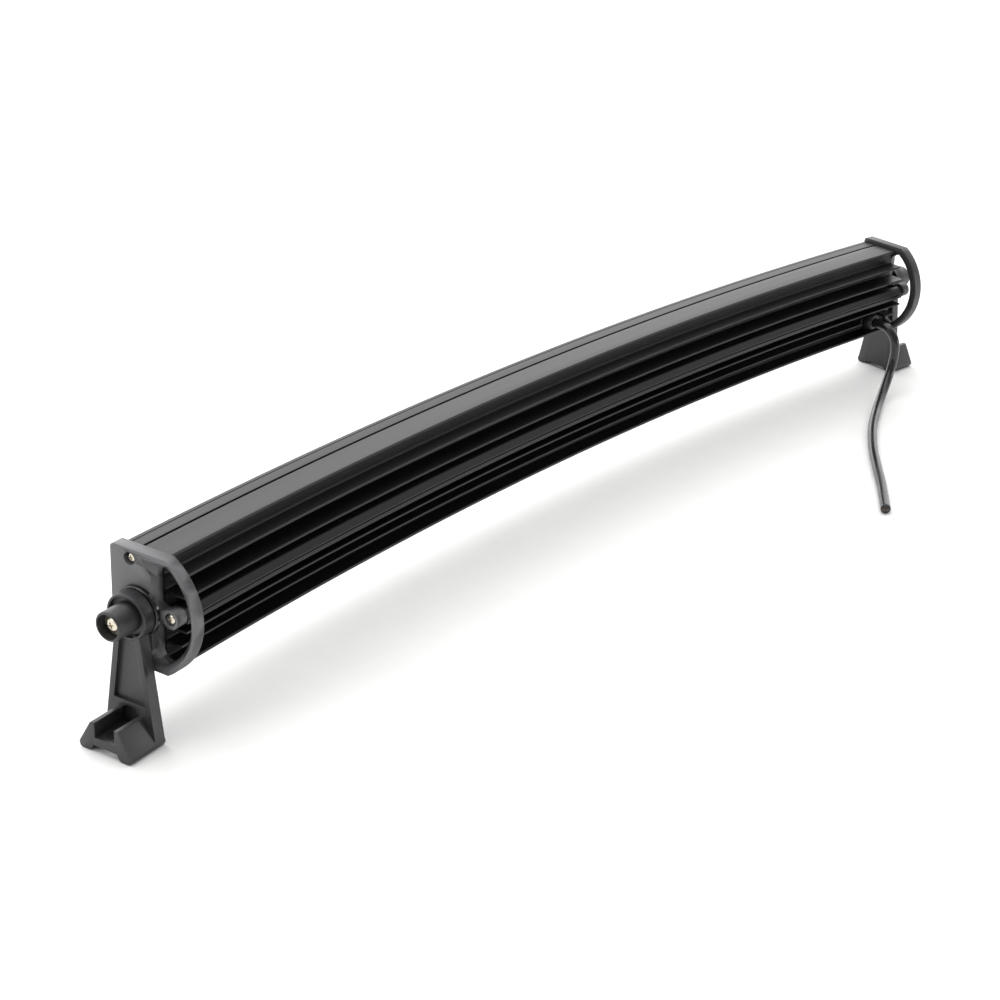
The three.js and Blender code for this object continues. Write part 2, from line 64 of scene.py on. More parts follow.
cameraSet = {
    "place": (1.18329, 0.85765, 0.69103),    # metres
    "turn": (63.768, -4.251, 126.376),       # degrees
    "lens": 72.18, "sensorWidth": 36,
    "shift": (-0.1317, 0.0436),              # shares of the sensor
    "clipEnd": 100,                          # metres
}
studio = {
    "skyFrom": (-0.45, -0.78, 0.44),              # the bright side of the soft sky
    "skySpread": (-0.15, 0.9),                    # from its dark side to its bright one
    "skyDark": 0.34, "skyBright": 2.3, "skySeen": 1.0,    # seen directly, the sky is plain white
    "floorHex": "F4F4F3", "floorSize": 120.0, "floorBelow": 0.0002,    # metres
    "softboxes": [    # name, place, aimed at, width in metres, watts
        ("softboxAbove", (0.1, -0.4, 2.4), (0.0, 0.0, 0.0), 2.4, 20.0),
        ("softboxSide", (2.5, -0.7, 0.9), (0.45, 0.0, 0.05), 0.9, 11.0),
        ("softboxFront", (-0.5, -2.6, 1.3), (0.0, 0.0, 0.1), 1.8, 8.0),
        ("softboxRight", (-1.6, 2.1, 0.35), (-0.4, 0.08, 0.03), 0.5, 8.0),
    ],
}

camera = bpy.data.objects.new("camera", bpy.data.cameras.new("camera"))
camera.location = cameraSet["place"]
camera.rotation_euler = [math.radians(a) for a in cameraSet["turn"]]
camera.data.lens = cameraSet["lens"]
camera.data.sensor_width = cameraSet["sensorWidth"]
camera.data.shift_x, camera.data.shift_y = cameraSet["shift"]
camera.data.clip_end = cameraSet["clipEnd"]
scene.collection.objects.link(camera)
scene.camera = camera
scene.view_settings.view_transform = "Standard"

world = bpy.data.worlds.new("studioWhite")
world.use_nodes = True
sky = world.node_tree
towards = addNode(sky, "ShaderNodeVectorMath", {1: Vector(studio["skyFrom"]).normalized()},
                  {0: addNode(sky, "ShaderNodeTexCoord").outputs["Generated"]}, operation="DOT_PRODUCT")
strength = addNode(sky, "ShaderNodeMapRange", {
    "From Min": studio["skySpread"][0], "From Max": studio["skySpread"][1],
    "To Min": studio["skyDark"], "To Max": studio["skyBright"]}, {"Value": towards.outputs["Value"]})
sky.nodes["Background"].inputs["Color"].default_value = (1, 1, 1, 1)
seen = addNode(sky, "ShaderNodeLightPath").outputs["Is Camera Ray"]
# a Mix node's number sockets are 2 and 3, its colour sockets 6 and 7
shown = addNode(sky, "ShaderNodeMix", {3: studio["skySeen"]}, {0: seen, 2: strength.outputs["Result"]})
sky.links.new(shown.outputs[0], sky.nodes["Background"].inputs["Strength"])
scene.world = world

for name, place, target, width, watts in studio["softboxes"]:
    light = bpy.data.lights.new(name, "AREA")
    light.size = width
    light.energy = watts
    lamp = bpy.data.objects.new(name, light)
    lamp.location = place
    lamp.rotation_euler = (Vector(target) - Vector(place)).to_track_quat("-Z", "Y").to_euler()
    scene.collection.objects.link(lamp)


# the bar's own measures: s along the arc, u back from the front face, v up from the pivots
bar = {
    "bendRadius": 3720.0, "halfAngle": math.radians(7), "frontToOrigin": 46.0428, "pivotHeight": 88.0,
    "endSetback": 1.6, "stations": 64,
}
halfLength = bar["bendRadius"] * bar["halfAngle"]


def barPoint(s, u, v):
    angle = s / bar["bendRadius"]
    radius = bar["bendRadius"] - u
    back = bar["bendRadius"] - radius * math.cos(angle) - bar["frontToOrigin"]
    return Vector((radius * math.sin(angle), back, bar["pivotHeight"] + v)) * mm


def backFrame(s, v):
    # local X along the bar, Y back into it, Z up
    return Matrix.Translation(barPoint(s, 0, v)) @ Matrix.Rotation(s / bar["bendRadius"], 4, "Z")


def newObject(name, mesh, material=None):
    piece = bpy.data.objects.new(name, mesh)
    scene.collection.objects.link(piece)
    if material:
        mesh.materials.clear()
        mesh.materials.append(material)
    return piece


def baked(piece):
    # the evaluated shape as a plain mesh, in place of the object with its modifiers
    shape = bpy.data.meshes.new_from_object(piece.evaluated_get(bpy.context.evaluated_depsgraph_get()))
    piece.modifiers.clear()
    piece.data = shape
    return piece


def smooth(mesh, degrees):
    # edges that turn by more than this stay crisp
    mesh.shade_smooth()
    mesh.set_sharp_from_angle(angle=math.radians(degrees))


def tidyMesh(mesh):
    # doubles merged, faces turned outwards
    work = bmesh.new()
    work.from_mesh(mesh)
    bmesh.ops.remove_doubles(work, verts=work.verts, dist=0.02 * mm)
    bmesh.ops.recalc_face_normals(work, faces=work.faces)
    work.to_mesh(mesh)
    work.free()


def finishPiece(piece, nodes=(), body="lamp"):
    if nodes:
        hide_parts(*nodes)
    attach(piece, body)
    return piece


def turnedMesh(profile, steps, ripple=0.0, ripples=0, rippleFrom=0.0):
    # profile of (radius, distance) pairs in mm about local X
    # ripple presses shallow flutes into whatever lies outside rippleFrom
    work = bmesh.new()
    rings = []
    for radius, along in profile:
        if radius < 1e-6:
            rings.append([work.verts.new((along * mm, 0, 0))])
            continue
        ring = []
        for i in range(steps):
            angle = 2 * math.pi * i / steps
            wave = ripple * (0.5 + 0.5 * math.cos(ripples * angle)) if radius > rippleFrom else 0.0
            r = (radius - wave) * mm
            ring.append(work.verts.new((along * mm, r * math.cos(angle), r * math.sin(angle))))
        rings.append(ring)
    closedLoop = len(rings[0]) > 1
    pairs = list(zip(rings, rings[1:])) + ([(rings[-1], rings[0])] if closedLoop else [])
    for a, b in pairs:
        for i in range(steps):
            j = (i + 1) % steps
            corners = ([a[0]] if len(a) == 1 else [a[i], a[j]]) + ([b[0]] if len(b) == 1 else [b[j], b[i]])
            work.faces.new(corners)
    bmesh.ops.recalc_face_normals(work, faces=work.faces)
    mesh = bpy.data.meshes.new("turned")
    work.to_mesh(mesh)
    work.free()
    return mesh


def placedMesh(mesh, matrices):
    work = bmesh.new()
    for matrix in matrices:
        part = mesh.copy()
        part.transform(matrix)
        if matrix.determinant() < 0:
            part.flip_normals()
        work.from_mesh(part)
    whole = bpy.data.meshes.new(mesh.name)
    work.to_mesh(whole)
    work.free()
    return whole


print("materials")


def startMaterial(name, hexText, roughness, metallic=0.0, ior=1.5, others=None):
    made = bpy.data.materials.new(name)
    made.use_nodes = True
    tree = made.node_tree
    shader = tree.nodes["Principled BSDF"]
    shader.inputs["Base Color"].default_value = linearColour(hexText)
    shader.inputs["Roughness"].default_value = roughness
    shader.inputs["Metallic"].default_value = metallic
    shader.inputs["IOR"].default_value = ior
    for key, value in (others or {}).items():
        shader.inputs[key].default_value = value
    return made, tree, shader


def grain(tree, shader, hexTexts, roughRange, grainMm, bumpMm, stretch=(1, 1, 1), uv=False):
    # one noise at the grain's real size drives colour and bump, a slower one drives the roughness
    slowerBy = 22
    if uv:
        where = addNode(tree, "ShaderNodeUVMap", uv_map="sweep").outputs["UV"]
    else:
        where = addNode(tree, "ShaderNodeTexCoord").outputs["Object"]
    where = addNode(tree, "ShaderNodeMapping", {"Scale": stretch}, {"Vector": where}).outputs["Vector"]
    fine = addNode(tree, "ShaderNodeTexNoise", {"Scale": 1000 / grainMm, "Detail": 3.0, "Roughness": 0.6},
                   {"Vector": where})
    slow = addNode(tree, "ShaderNodeTexNoise", {"Scale": 1000 / (grainMm * slowerBy), "Detail": 2.0},
                   {"Vector": where})
    colours = addNode(tree, "ShaderNodeValToRGB", links={"Fac": fine.outputs["Fac"]})
    for stop, position, hexText in zip(colours.color_ramp.elements, (0.3, 0.7), hexTexts):
        stop.position = position
        stop.color = linearColour(hexText)
    spread = addNode(tree, "ShaderNodeMapRange", {
        "From Min": 0.35, "From Max": 0.65, "To Min": roughRange[0], "To Max": roughRange[1]},
        {"Value": slow.outputs["Fac"]})
    bump = addNode(tree, "ShaderNodeBump", {"Strength": 1.0, "Distance": bumpMm * mm},
                   {"Height": fine.outputs["Fac"]})
    tree.links.new(colours.outputs["Color"], shader.inputs["Base Color"])
    tree.links.new(spread.outputs["Result"], shader.inputs["Roughness"])
    tree.links.new(bump.outputs["Normal"], shader.inputs["Normal"])
    return colours


def edgeWearAndHighlight(tree, shader, colours, hexText, low, high):
    # outside corners turn paler: partly a coat thinned by handling, partly a painted highlight where light
    # catches the edges
    edge = addNode(tree, "ShaderNodeMapRange", {"From Min": low, "From Max": high},
                   {"Value": addNode(tree, "ShaderNodeNewGeometry").outputs["Pointiness"]})
    paleEdgeMix = addNode(tree, "ShaderNodeMix", {7: linearColour(hexText)},
                   {0: edge.outputs["Result"], 6: colours.outputs["Color"]}, data_type="RGBA")
    tree.links.new(paleEdgeMix.outputs[2], shader.inputs["Base Color"])


# Extruded aluminium, black anodised: a thin glassy oxide, near black, with faint die lines along the bar.
# The lines are 0.9 mm apart, coarser than real ones, which would be too fine to show.
blackAnodised, tree, shader = startMaterial("blackAnodised", "111113", 0.36,
                                            others={"Specular IOR Level": 0.3})
colours = grain(tree, shader, ("0D0D0F", "161618"), (0.3, 0.42), 0.9, 0.012, (0.02, 1, 1), uv=True)
# paler outside edges and fin tips: a painted highlight, with some wear
edgeWearAndHighlight(tree, shader, colours, "6A6A6C", 0.56, 0.68)

# Die-cast aluminium, satin black powder coat: soft grey-black with a fine pebble, paler on its edges, partly
# rubbed wear and partly painted highlight.
blackCasting, tree, shader = startMaterial("blackPowderCoatedCasting", "2B2B2D", 0.4)
colours = grain(tree, shader, ("242426", "323234"), (0.38, 0.44), 0.9, 0.12)
# paler outside edges: a painted highlight along the rims, with some rubbed wear
edgeWearAndHighlight(tree, shader, colours, "5E5E60", 0.57, 0.7)

# Moulded nylon, gloss black: a tight bright highlight over a very slight orange peel.
glossNylon, tree, shader = startMaterial("mouldedGlossNylon", "0E0E0F", 0.2, ior=1.53)
grain(tree, shader, ("0B0B0C", "131314"), (0.16, 0.26), 1.6, 0.012)

# Moulded nylon with a spark-eroded texture: a dull, even black.
# Its grain of 0.35 mm is coarser than a real one, which would be too fine to show.
blackNylon, tree, shader = startMaterial("texturedNylon", "161617", 0.5, ior=1.53)
grain(tree, shader, ("121213", "1C1C1E"), (0.42, 0.55), 0.35, 0.03)

# Stainless steel, turned and bright: warm white metal with fine tool marks.
# The marks are 0.3 mm apart, coarser than real ones, which would be too fine to show.
brightSteel, tree, shader = startMaterial("turnedStainless", "D2CABA", 0.24, metallic=1.0)
grain(tree, shader, ("C2B9A6", "DED8CA"), (0.18, 0.32), 0.3, 0.008, stretch=(0.25, 1, 1))

# Extruded PVC cable jacket: smooth and slightly greasy, with long soft highlights.
cableJacket, tree, shader = startMaterial("pvcJacket", "19191B", 0.22, ior=1.54)
grain(tree, shader, ("151517", "202022"), (0.19, 0.28), 1.2, 0.006)

# Die-cut silicone: matt black with a powdery bloom.
blackRubber, tree, shader = startMaterial("siliconeRubber", "141414", 0.78, ior=1.42)
grain(tree, shader, ("101010", "1B1B1B"), (0.7, 0.86), 0.5, 0.03)

# Hard-coated polycarbonate: water clear, glossy, with the faintest moulding ripple.
clearPolycarbonate, tree, shader = startMaterial("clearPolycarbonate", "FAFCFD", 0.03, ior=1.585,
                                                 others={"Transmission Weight": 1.0})
grain(tree, shader, ("F6F9FB", "FFFFFF"), (0.02, 0.05), 9.0, 0.004)

# Aluminium-core circuit board under white solder mask: bright satin white.
solderMask, tree, shader = startMaterial("whiteSolderMask", "E6E7E1", 0.42)
grain(tree, shader, ("DFE0DA", "ECEDE8"), (0.36, 0.5), 0.8, 0.008)

# Moulded plastic, vacuum metallised: a mirror, very slightly cloudy.
brightReflector, tree, shader = startMaterial("metallisedReflector", "DFE1E4", 0.1, metallic=1.0)
grain(tree, shader, ("D6D8DC", "E8EAED"), (0.07, 0.15), 2.2, 0.006)

# Phosphor under clear silicone: egg-yolk yellow with a wet shine.
phosphor, tree, shader = startMaterial("phosphorDome", "E3C24A", 0.35, ior=1.45,
                                       others={"Coat Weight": 0.8})
grain(tree, shader, ("D9B53C", "ECD066"), (0.28, 0.42), 0.2, 0.01)

# Two conductors in thin dark brown insulation: a dull, slightly warm satin.
coreBrown, tree, shader = startMaterial("brownInsulation", "4A3A33", 0.4)
grain(tree, shader, ("42332D", "54433B"), (0.34, 0.46), 0.4, 0.01)

# Painted plaster floor of the studio: plain and matt.
floorPaint, tree, shader = startMaterial("floorPaint", studio["floorHex"], 0.85)
grain(tree, shader, (studio["floorHex"], "F6F6F5"), (0.8, 0.9), 40.0, 0.02)

floorHalf = studio["floorSize"] / 2
floorLevel = -studio["floorBelow"]    # just under the feet, so the two faces don't fight
floorCorners = [(x * floorHalf, y * floorHalf, floorLevel) for x, y in ((-1, -1), (1, -1), (1, 1), (-1, 1))]
floorMesh = bpy.data.meshes.new("studioFloor")
floorMesh.from_pydata(floorCorners, [], [(0, 1, 2, 3)])
newObject("studioFloor", floorMesh, floorPaint)


print("cable")

cableSet = {
    "diameter": 8.5,
    "cut": 2.0,            # the jacket stops this much short, and the cores show
    "coreRadius": 1.35, "coreInside": 0.6, "coreShows": 1.5, "coreSpread": 1.75,
    "route": [
        (-413.9, 23.7, 63.8), (-413.4, 27.6, 63.8), (-413.0, 31.6, 63.6), (-412.4, 37.3, 62.6),
        (-411.9, 42.5, 59.6), (-411.7, 46.6, 54.8), (-411.6, 48.8, 48.7), (-411.5, 49.4, 41.6),
        (-410.4, 49.6, 34.0), (-407.4, 50.0, 26.5), (-401.3, 51.3, 19.0), (-391.6, 54.0, 12.2),
        (-378.0, 58.6, 7.3), (-362.0, 64.8, 4.9), (-344.0, 72.8, 4.5), (-322.0, 83.5, 4.5),
        (-298.0, 96.9, 4.5), (-272.0, 113.2, 4.5), (-243.0, 133.6, 4.5), (-212.0, 156.0, 4.5),
        (-190.0, 170.8, 4.5), (-172.0, 183.0, 4.5),
    ],
}

route = [Vector(point) * mm for point in cableSet["route"]]
endWay = (route[-1] - route[-2]).normalized()
route[-1] = route[-1] - endWay * cableSet["cut"] * mm
leadCurve = bpy.data.curves.new("cable", "CURVE")
leadCurve.dimensions = "3D"
leadCurve.resolution_u = 14
leadCurve.bevel_depth = cableSet["diameter"] / 2 * mm
leadCurve.bevel_resolution = 8
leadCurve.use_fill_caps = True
spline = leadCurve.splines.new("BEZIER")
spline.bezier_points.add(len(route) - 1)
for point, place in zip(spline.bezier_points, route):
    point.co = place
    point.handle_left_type = point.handle_right_type = "AUTO"
cable = newObject("supplyCable", leadCurve, cableJacket)
bpy.context.view_layer.update()

coreRadius, coreInside, coreShows = (cableSet[key] for key in ("coreRadius", "coreInside", "coreShows"))
core = turnedMesh([(0, -coreInside), (coreRadius, -coreInside), (coreRadius, coreShows - 0.3),
                   (coreRadius - 0.3, coreShows - 0.05), (0, coreShows)], 14)
sideways = endWay.cross(Vector((0, 0, 1))).normalized()
coreTurn = endWay.to_track_quat("X", "Z").to_matrix().to_4x4()
coreShift = sideways * cableSet["coreSpread"] * mm
cores = placedMesh(core, [Matrix.Translation(route[-1] + coreShift * sign) @ coreTurn for sign in (1, -1)])
smooth(cores, 40)
cableCores = newObject("cableCores", cores, coreBrown)
finishPiece(cableCores)
finishPiece(cable, ["cable"])


# a section swept along the bar's arc
def buildSweepTree():
    tree = bpy.data.node_groups.new("sweepAlongBar", "GeometryNodeTree")
    face = tree.interface
    face.new_socket("Geometry", in_out="INPUT", socket_type="NodeSocketGeometry")
    for name in ("Bend Radius", "Half Angle", "Front To Origin", "Pivot Height", "Start Share", "End Share"):
        face.new_socket(name, in_out="INPUT", socket_type="NodeSocketFloat")
    face.new_socket("Stations", in_out="INPUT", socket_type="NodeSocketInt")
    face.new_socket("Material", in_out="INPUT", socket_type="NodeSocketMaterial")
    face.new_socket("Geometry", in_out="OUTPUT", socket_type="NodeSocketGeometry")
    given = addNode(tree, "NodeGroupInput").outputs

    share = addNode(tree, "ShaderNodeMath", links={0: given["End Share"], 1: given["Start Share"]},
                    operation="SUBTRACT")
    sweepAngle = addNode(tree, "ShaderNodeMath", links={0: given["Half Angle"], 1: share.outputs[0]},
                         operation="MULTIPLY")
    startTurn = addNode(tree, "ShaderNodeMath", links={0: given["Half Angle"], 1: given["Start Share"]},
                        operation="MULTIPLY")
    startAngle = addNode(tree, "ShaderNodeMath", {1: math.pi / 2}, {0: startTurn.outputs[0]},
                         operation="SUBTRACT")
    arc = addNode(tree, "GeometryNodeCurveArc", links={
        "Resolution": given["Stations"], "Radius": given["Bend Radius"],
        "Start Angle": startAngle.outputs[0], "Sweep Angle": sweepAngle.outputs[0]}, mode="RADIUS")
    centreBack = addNode(tree, "ShaderNodeMath", links={0: given["Bend Radius"], 1: given["Front To Origin"]},
                         operation="SUBTRACT")
    centre = addNode(tree, "ShaderNodeCombineXYZ", links={
        "Y": centreBack.outputs[0], "Z": given["Pivot Height"]})
    moved = addNode(tree, "GeometryNodeTransform", links={
        "Geometry": arc.outputs["Curve"], "Translation": centre.outputs[0]})
    alongHere = addNode(tree, "GeometryNodeSplineParameter")
    along = addNode(tree, "GeometryNodeStoreNamedAttribute", {"Name": "along"}, {
        "Geometry": moved.outputs[0], "Value": alongHere.outputs["Length"]}, data_type="FLOAT")
    section = addNode(tree, "GeometryNodeMeshToCurve", links={"Mesh": given["Geometry"]})
    around = addNode(tree, "GeometryNodeStoreNamedAttribute", {"Name": "around"}, {
        "Geometry": section.outputs[0], "Value": alongHere.outputs["Length"]}, data_type="FLOAT")
    swept = addNode(tree, "GeometryNodeCurveToMesh", {"Fill Caps": True},
                    {"Curve": along.outputs[0], "Profile Curve": around.outputs[0]})
    alongBack = addNode(tree, "GeometryNodeInputNamedAttribute", {"Name": "along"}, data_type="FLOAT")
    aroundBack = addNode(tree, "GeometryNodeInputNamedAttribute", {"Name": "around"}, data_type="FLOAT")
    pair = addNode(tree, "ShaderNodeCombineXYZ", links={
        "X": alongBack.outputs[0], "Y": aroundBack.outputs[0]})
    laid = addNode(tree, "GeometryNodeStoreNamedAttribute", {"Name": "sweep"}, {
        "Geometry": swept.outputs[0], "Value": pair.outputs[0]}, data_type="FLOAT2", domain="CORNER")
    real = addNode(tree, "GeometryNodeRealizeInstances", links={"Geometry": laid.outputs[0]})
    painted = addNode(tree, "GeometryNodeSetMaterial", links={
        "Geometry": real.outputs[0], "Material": given["Material"]})
    addNode(tree, "NodeGroupOutput", links={"Geometry": painted.outputs[0]})
    return tree


def setInputs(modifier, values):
    sockets = {item.name: item.identifier for item in modifier.node_group.interface.items_tree
               if item.in_out == "INPUT"}
    for name, value in values.items():
        modifier[sockets[name]] = value


def sweptPiece(name, section, startAt, endAt, material):
    # section: closed loop of (u, v) in mm
    profile = bpy.data.meshes.new(name)
    count = len(section)
    profile.from_pydata([(-u * mm, -v * mm, 0) for u, v in section],
                        [(i, (i + 1) % count) for i in range(count)], [])
    piece = newObject(name, profile)
    modifier = piece.modifiers.new("sweepAlongBar", "NODES")
    modifier.node_group = sweepTree
    setInputs(modifier, {
        "Bend Radius": bar["bendRadius"] * mm, "Half Angle": bar["halfAngle"],
        "Front To Origin": bar["frontToOrigin"] * mm, "Pivot Height": bar["pivotHeight"] * mm,
        "Start Share": startAt / halfLength, "End Share": endAt / halfLength,
        "Stations": bar["stations"], "Material": material})
    baked(piece)
    tidyMesh(piece.data)
    return piece


sweepTree = buildSweepTree()


def rounded(corners):
    # corners are (u, v) or (u, v, fillet radius)
    steps = 4
    loop = []
    count = len(corners)
    for i, corner in enumerate(corners):
        here = Vector(corner[:2])
        radius = corner[2] if len(corner) > 2 else 0
        if radius <= 0:
            loop.append(tuple(here))
            continue
        before = Vector(corners[i - 1][:2]) - here
        after = Vector(corners[(i + 1) % count][:2]) - here
        turn = before.angle(after)
        # a fillet takes less than half of each side, so two neighbours never meet
        reach = min(radius / math.tan(turn / 2), before.length * 0.49, after.length * 0.49)
        radius = reach * math.tan(turn / 2)
        start, stop = here + before.normalized() * reach, here + after.normalized() * reach
        inwards = (before.normalized() + after.normalized()).normalized()
        middle = here + inwards * (radius / math.sin(turn / 2))
        a0 = math.atan2(start.y - middle.y, start.x - middle.x)
        a1 = math.atan2(stop.y - middle.y, stop.x - middle.x)
        sweep = (a1 - a0 + math.pi) % (2 * math.pi) - math.pi
        for k in range(steps + 1):
            angle = a0 + sweep * k / steps
            loop.append((middle.x + radius * math.cos(angle), middle.y + radius * math.sin(angle)))
    return loop


def arcPoints(cu, cv, radius, start, stop, steps):
    angles = [math.radians(start + (stop - start) * i / steps) for i in range(steps + 1)]
    return [(cu + radius * math.cos(a), cv + radius * math.sin(a)) for a in angles]


print("housing")

housingSet = {
    "halfHeight": 36.7, "innerHalfHeight": 33.2, "wallFront": 28.0, "wallBack": 32.0,
    "topPlateBack": 35.2, "bottomPlateBack": 44.5,
    "finThickness": 1.7, "fins": ((11.9, 49.0), (23.1, 44.5)), "rootFillet": 0.9,
    "serrationPitch": 1.9, "serrationDepth": 0.28,
    "rearPort": {"u": 44.0, "bore": 2.3, "outer": 4.4, "web": 1.3, "reach": 49.8,
                 "foot": -5.4, "mouth": (-2.2, -1.4)},
    "platePort": {"u": 13.3, "v": 33.0, "bore": 2.2, "outer": 4.0, "slot": 1.0},
    "lip": {"depth": 7.4, "face": 32.4, "grooveFront": 1.5, "grooveBack": 6.2, "grooveTop": 35.0},
    "notch": {"s": -420.0, "halfWidth": 19.0, "u": (32.05, 60), "v": (-33.9, -13.8)},
    "cableHole": {"s": -420.0, "v": -24.2, "radius": 6.1, "u": (20, 33)},
}


def serrations(v0, v1):
    # shallow teeth on the rear wall between two heights
    u, pitch, depth = housingSet["wallBack"], housingSet["serrationPitch"], housingSet["serrationDepth"]
    tooth = ((0, 0.14), (depth, 0.34), (depth, 0.66), (0, 0.86))    # how deep, at which share of a step
    count = max(1, round((v1 - v0) / pitch))
    step = (v1 - v0) / count
    points = []
    for i in range(count):
        base = v0 + i * step
        points += [(u - cut, base + step * share) for cut, share in tooth]
    return points


def rearRib():
    # the web and screw port between the two halves
    port = housingSet["rearPort"]
    u, bore, outer, web, reach, foot = (port[k] for k in ("u", "bore", "outer", "web", "reach", "foot"))
    back = housingSet["wallBack"]
    webAngle = math.degrees(math.asin(web / outer))
    low, high = port["mouth"]    # the port is open backwards between these heights
    bottom, top = (math.degrees(math.asin(edge / bore)) for edge in (low, high))
    return [(back, -web, 0.8), *arcPoints(u, 0, outer, 180 + webAngle, 265, 10), (u + 2.4, foot, 0.6),
            (reach - 1.2, foot), (reach, foot, 0.5), (reach, low, 0.3),
            *arcPoints(u, 0, bore, bottom, top - 360, 22), (reach, high, 0.25), (reach, high + 1.0, 0.4),
            *arcPoints(u, 0, outer, 45, 180 - webAngle, 12), (back, web, 0.8)]


def housingHalf(plateBack):
    # from the rear port up the back, over the plate and into the cavity
    top, back = housingSet["halfHeight"], housingSet["wallBack"]
    half, fillet = housingSet["finThickness"] / 2, housingSet["rootFillet"]
    port, lip = housingSet["platePort"], housingSet["lip"]
    slotAngle = math.degrees(math.acos(port["slot"] / port["bore"]))
    slotFront, slotBack = port["u"] - port["slot"], port["u"] + port["slot"]
    face, inside = lip["face"], housingSet["innerHalfHeight"]
    points = []
    bandStart = housingSet["rearPort"]["web"] + 1.2
    for at, reach in housingSet["fins"]:
        points += serrations(bandStart + 0.8, at - half - 1.6)
        points += [(back, at - half - 0.3, fillet), (reach - 1.5, at - half), (reach, at - half, 0.7),
                   (reach, at + half, 0.7), (reach - 1.5, at + half), (back, at + half + 0.3, fillet)]
        bandStart = at + half + 1.0
    points += serrations(bandStart + 0.5, top - 3.6)
    points += [(back, top - 2.6, 0.7), (plateBack - 1.6, top - 2.24), (plateBack, top - 2.2, 0.5),
               (plateBack, top, 0.6), (plateBack - 1.4, top), (slotBack + 1.0, top), (slotBack, top, 0.15),
               *arcPoints(port["u"], port["v"], port["bore"], slotAngle, -180 - slotAngle, 18),
               (slotFront, top, 0.15), (slotFront - 1.0, top),
               (5.0, top), (4.2, top, 0.12), (3.7, top - 0.5), (3.2, top, 0.12), (0, top, 0.6),
               (0, face, 0.2), (lip["grooveFront"], face), (lip["grooveFront"], lip["grooveTop"]),
               (lip["grooveBack"], lip["grooveTop"]), (lip["grooveBack"], face), (lip["depth"], face),
               (lip["depth"], inside),
               *arcPoints(port["u"], port["v"], port["outer"], 177, 363, 12),
               (housingSet["wallFront"], inside, 0.8)]
    return points


upper = housingHalf(housingSet["topPlateBack"])
lower = [(p[0], -p[1], *p[2:]) for p in reversed(housingHalf(housingSet["bottomPlateBack"]))]
section = rounded(rearRib() + upper + lower)
cavityEnd = housingSet["wallFront"] + 0.5
seam = max(range(len(section)), key=lambda i: (section[i][0] < cavityEnd, section[i][1] < 0, section[i][0]))
section = section[seam:] + section[:seam]    # the seam goes inside the cavity
housingEnd = halfLength - bar["endSetback"]
housing = sweptPiece("housing", section, -housingEnd, housingEnd, blackAnodised)

notch = housingSet["notch"]    # room for the gland in the lower fins
(notchFront, notchBack), (notchLow, notchHigh) = notch["u"], notch["v"]
notchCorners = [barPoint(s, u, v) for s in (notch["s"] - notch["halfWidth"], notch["s"] + notch["halfWidth"])
                for u, v in ((notchFront, notchLow), (notchBack, notchLow), (notchBack, notchHigh),
                             (notchFront, notchHigh))]
notchMesh = bpy.data.meshes.new("notchTool")
notchMesh.from_pydata(notchCorners, [], [
    (0, 1, 2, 3), (7, 6, 5, 4), (0, 4, 5, 1), (1, 5, 6, 2), (2, 6, 7, 3), (3, 7, 4, 0)])
tidyMesh(notchMesh)
turnBack = Matrix.Rotation(math.radians(90), 4, "Z")    # local X turned to run back into the bar
hole = housingSet["cableHole"]
holeStart, holeStop = hole["u"]
holeMesh = turnedMesh([(0, holeStart), (hole["radius"], holeStart), (hole["radius"], holeStop),
                       (0, holeStop)], 40)
holeMesh = placedMesh(holeMesh, [backFrame(hole["s"], hole["v"]) @ turnBack])
for tool in (newObject("notchTool", notchMesh), newObject("holeTool", holeMesh)):
    cutter = housing.modifiers.new("cut", "BOOLEAN")
    cutter.object = tool
    cutter.operation = "DIFFERENCE"
    cutter.solver = "EXACT"
    baked(housing)
    bpy.data.objects.remove(tool)
smooth(housing.data, 30)
finishPiece(housing, ["housing"])


print("lens")

lensSet = {"front": 2.9, "back": 5.9, "halfHeight": 34.6, "edge": 0.4}

lensFront, lensBack, lensTop, lensEdge = (lensSet[key] for key in ("front", "back", "halfHeight", "edge"))
lensSection = rounded([(lensBack, -lensTop, lensEdge), (lensBack, lensTop, lensEdge),
                       (lensFront, lensTop, lensEdge), (lensFront, -lensTop, lensEdge)])
lens = sweptPiece("lens", lensSection, -housingEnd, housingEnd, clearPolycarbonate)
smooth(lens.data, 30)
finishPiece(lens, ["lens"])


# one shape repeated on points that carry their own turn
def buildRepeatTree():
    tree = bpy.data.node_groups.new("repeatOnPoints", "GeometryNodeTree")
    face = tree.interface
    face.new_socket("Geometry", in_out="INPUT", socket_type="NodeSocketGeometry")
    face.new_socket("Shape", in_out="INPUT", socket_type="NodeSocketObject")
    face.new_socket("Merge Distance", in_out="INPUT", socket_type="NodeSocketFloat")
    face.new_socket("Material", in_out="INPUT", socket_type="NodeSocketMaterial")
    face.new_socket("Geometry", in_out="OUTPUT", socket_type="NodeSocketGeometry")
    given = addNode(tree, "NodeGroupInput").outputs
    points = addNode(tree, "GeometryNodeMeshToPoints", links={"Mesh": given["Geometry"]})
    shape = addNode(tree, "GeometryNodeObjectInfo", links={"Object": given["Shape"]})
    turn = addNode(tree, "GeometryNodeInputNamedAttribute", {"Name": "turn"}, data_type="FLOAT_VECTOR")
    turned = addNode(tree, "FunctionNodeEulerToRotation", links={"Euler": turn.outputs["Attribute"]})
    placed = addNode(tree, "GeometryNodeInstanceOnPoints", links={
        "Points": points.outputs[0], "Instance": shape.outputs["Geometry"], "Rotation": turned.outputs[0]})
    real = addNode(tree, "GeometryNodeRealizeInstances", links={"Geometry": placed.outputs[0]})
    merged = addNode(tree, "GeometryNodeMergeByDistance", links={
        "Geometry": real.outputs[0], "Distance": given["Merge Distance"]})
    painted = addNode(tree, "GeometryNodeSetMaterial", links={
        "Geometry": merged.outputs[0], "Material": given["Material"]})
    addNode(tree, "NodeGroupOutput", links={"Geometry": painted.outputs[0]})
    return tree


repeatTree = buildRepeatTree()


